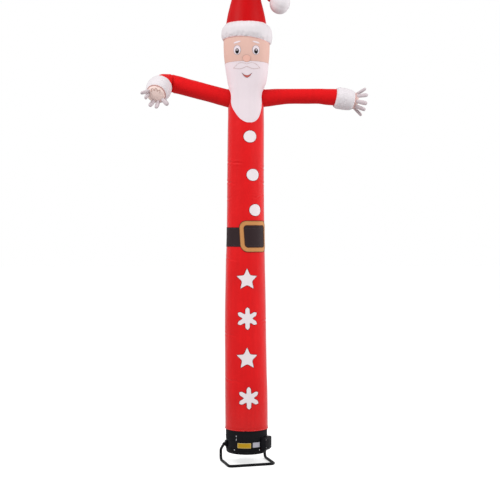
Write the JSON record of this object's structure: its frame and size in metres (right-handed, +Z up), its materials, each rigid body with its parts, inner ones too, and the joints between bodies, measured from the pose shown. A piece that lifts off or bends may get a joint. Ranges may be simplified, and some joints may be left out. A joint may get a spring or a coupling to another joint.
{
  "type": "inflatable air dancer with blower",
  "caption": "Tall blown-up tube figure in Father Christmas dress, arms out and hat folded over, on a round black blower held in a bent-tube floor stand.",
  "frame": {"origin": "middle of the bounding box of the whole object, on the floor it stands on", "axes": "+Z up the figure, -Y towards the front of the figure, +X to the right of someone who looks at its front"},
  "size_m": [2.3916, 0.6768, 5.286],
  "materials": {
    "red_cloth": "satin",
    "white_cloth": "satin",
    "skin_cloth": "satin",
    "finger_cloth": "satin",
    "dark_cloth": "satin",
    "gold_cloth": "satin",
    "nose_cloth": "satin",
    "lip_cloth": "satin",
    "black_shell": "satin",
    "black_steel": "satin",
    "bright_steel": "satin",
    "yellow_plate": "satin",
    "pale_plate": "satin"
  },
  "bodies": {
    "root": {"arm_left": "red_cloth", "arm_right": "red_cloth", "base_collar": "dark_cloth", "beard_panel": "white_cloth", "belt": "dark_cloth", "body_tube": "red_cloth", "bracket_left": "black_steel", "bracket_right": "black_steel", "brow_left": "white_cloth", "brow_right": "white_cloth", "buckle": "gold_cloth", "button_1": "white_cloth", "button_2": "white_cloth", "button_3": "white_cloth", "control_box": "black_shell", "cuff_left": "white_cloth", "cuff_right": "white_cloth", "drum": "black_shell", "drum_bolt_1": "bright_steel", "drum_bolt_2": "bright_steel", "drum_bolt_3": "bright_steel", "drum_bolt_4": "bright_steel", "drum_flange": "black_shell", "emblem_1": "white_cloth", "emblem_2": "white_cloth", "emblem_3": "white_cloth", "emblem_4": "white_cloth", "eye_left": "white_cloth", "eye_right": "white_cloth", "face_panel": "skin_cloth", "finger_left_1": "finger_cloth", "finger_left_2": "finger_cloth", "finger_left_3": "finger_cloth", "finger_left_4": "finger_cloth", "finger_left_5": "finger_cloth", "finger_right_1": "finger_cloth", "finger_right_2": "finger_cloth", "finger_right_3": "finger_cloth", "finger_right_4": "finger_cloth", "finger_right_5": "finger_cloth", "hair_panel": "white_cloth", "hand_left": "skin_cloth", "hand_right": "skin_cloth", "hat_brim": "white_cloth", "hat_cone": "red_cloth", "intake_guard": "black_shell", "moustache": "white_cloth", "mouth": "lip_cloth", "nose": "nose_cloth", "pivot_bolt_left": "bright_steel", "pivot_bolt_right": "bright_steel", "plate_pale": "pale_plate", "plate_yellow": "yellow_plate", "pompom": "white_cloth", "pupil_left": "dark_cloth", "pupil_right": "dark_cloth", "snap_1": "bright_steel", "snap_2": "bright_steel", "stand_tube": "black_steel"}
  },
  "joints": []
}
